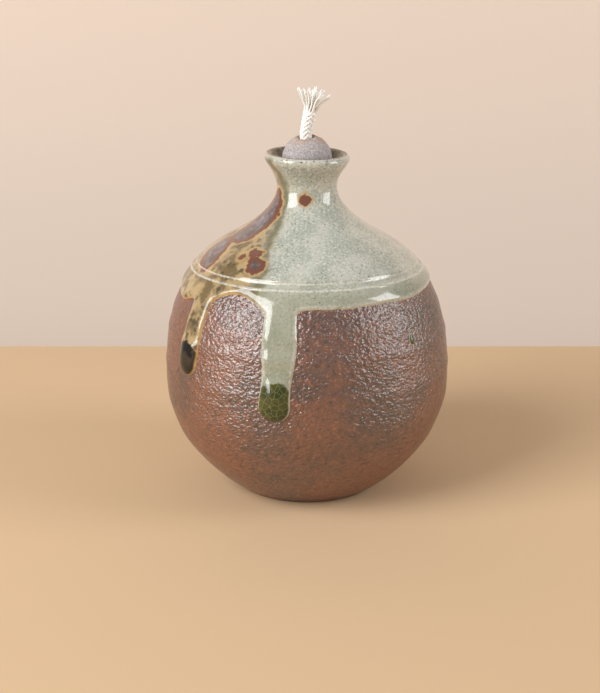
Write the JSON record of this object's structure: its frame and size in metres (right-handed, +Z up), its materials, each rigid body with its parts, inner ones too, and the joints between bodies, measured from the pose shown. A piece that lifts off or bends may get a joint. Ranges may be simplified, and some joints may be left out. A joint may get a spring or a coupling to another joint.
{
  "type": "stoneware oil lamp",
  "caption": "Round stoneware oil lamp with a narrow flared neck, poured ash glaze that has run down its front, and a pierced clay ball that holds a cotton wick.",
  "frame": {"origin": "centre of the foot ring, on the surface that the lamp stands on", "axes": "+Z up along the pot's axis, -Y towards the front with the long glaze run, +X to the right seen from the front"},
  "size_m": [0.12, 0.1212, 0.1677],
  "materials": {
    "stoneware": "satin, orange peel",
    "ash_glaze": "gloss, speckled with iron",
    "liner_glaze": "gloss",
    "stopper_clay": "matt, sandy",
    "cotton": "braided cotton"
  },
  "bodies": {
    "vessel": {"vessel": "stoneware", "glaze_coat": "ash_glaze", "glaze_liner": "liner_glaze", "glaze_run_front": "ash_glaze", "glaze_run_left": "ash_glaze", "glaze_drops": "ash_glaze"},
    "stopper": {"stopper": "stopper_clay"},
    "wick": {"wick_stem": "cotton", "wick_fray": "cotton", "wick_tail": "cotton"}
  },
  "joints": [
    {"name": "stopper_lift", "type": "slide", "parent": "vessel", "child": "stopper", "axis": [0, 0, 1], "range_m": [0, 0.15]},
    {"name": "wick_raise", "type": "slide", "parent": "stopper", "child": "wick", "axis": [-0.0515, -0.1736, 0.9835], "range_m": [0, 0.012]}
  ]
}
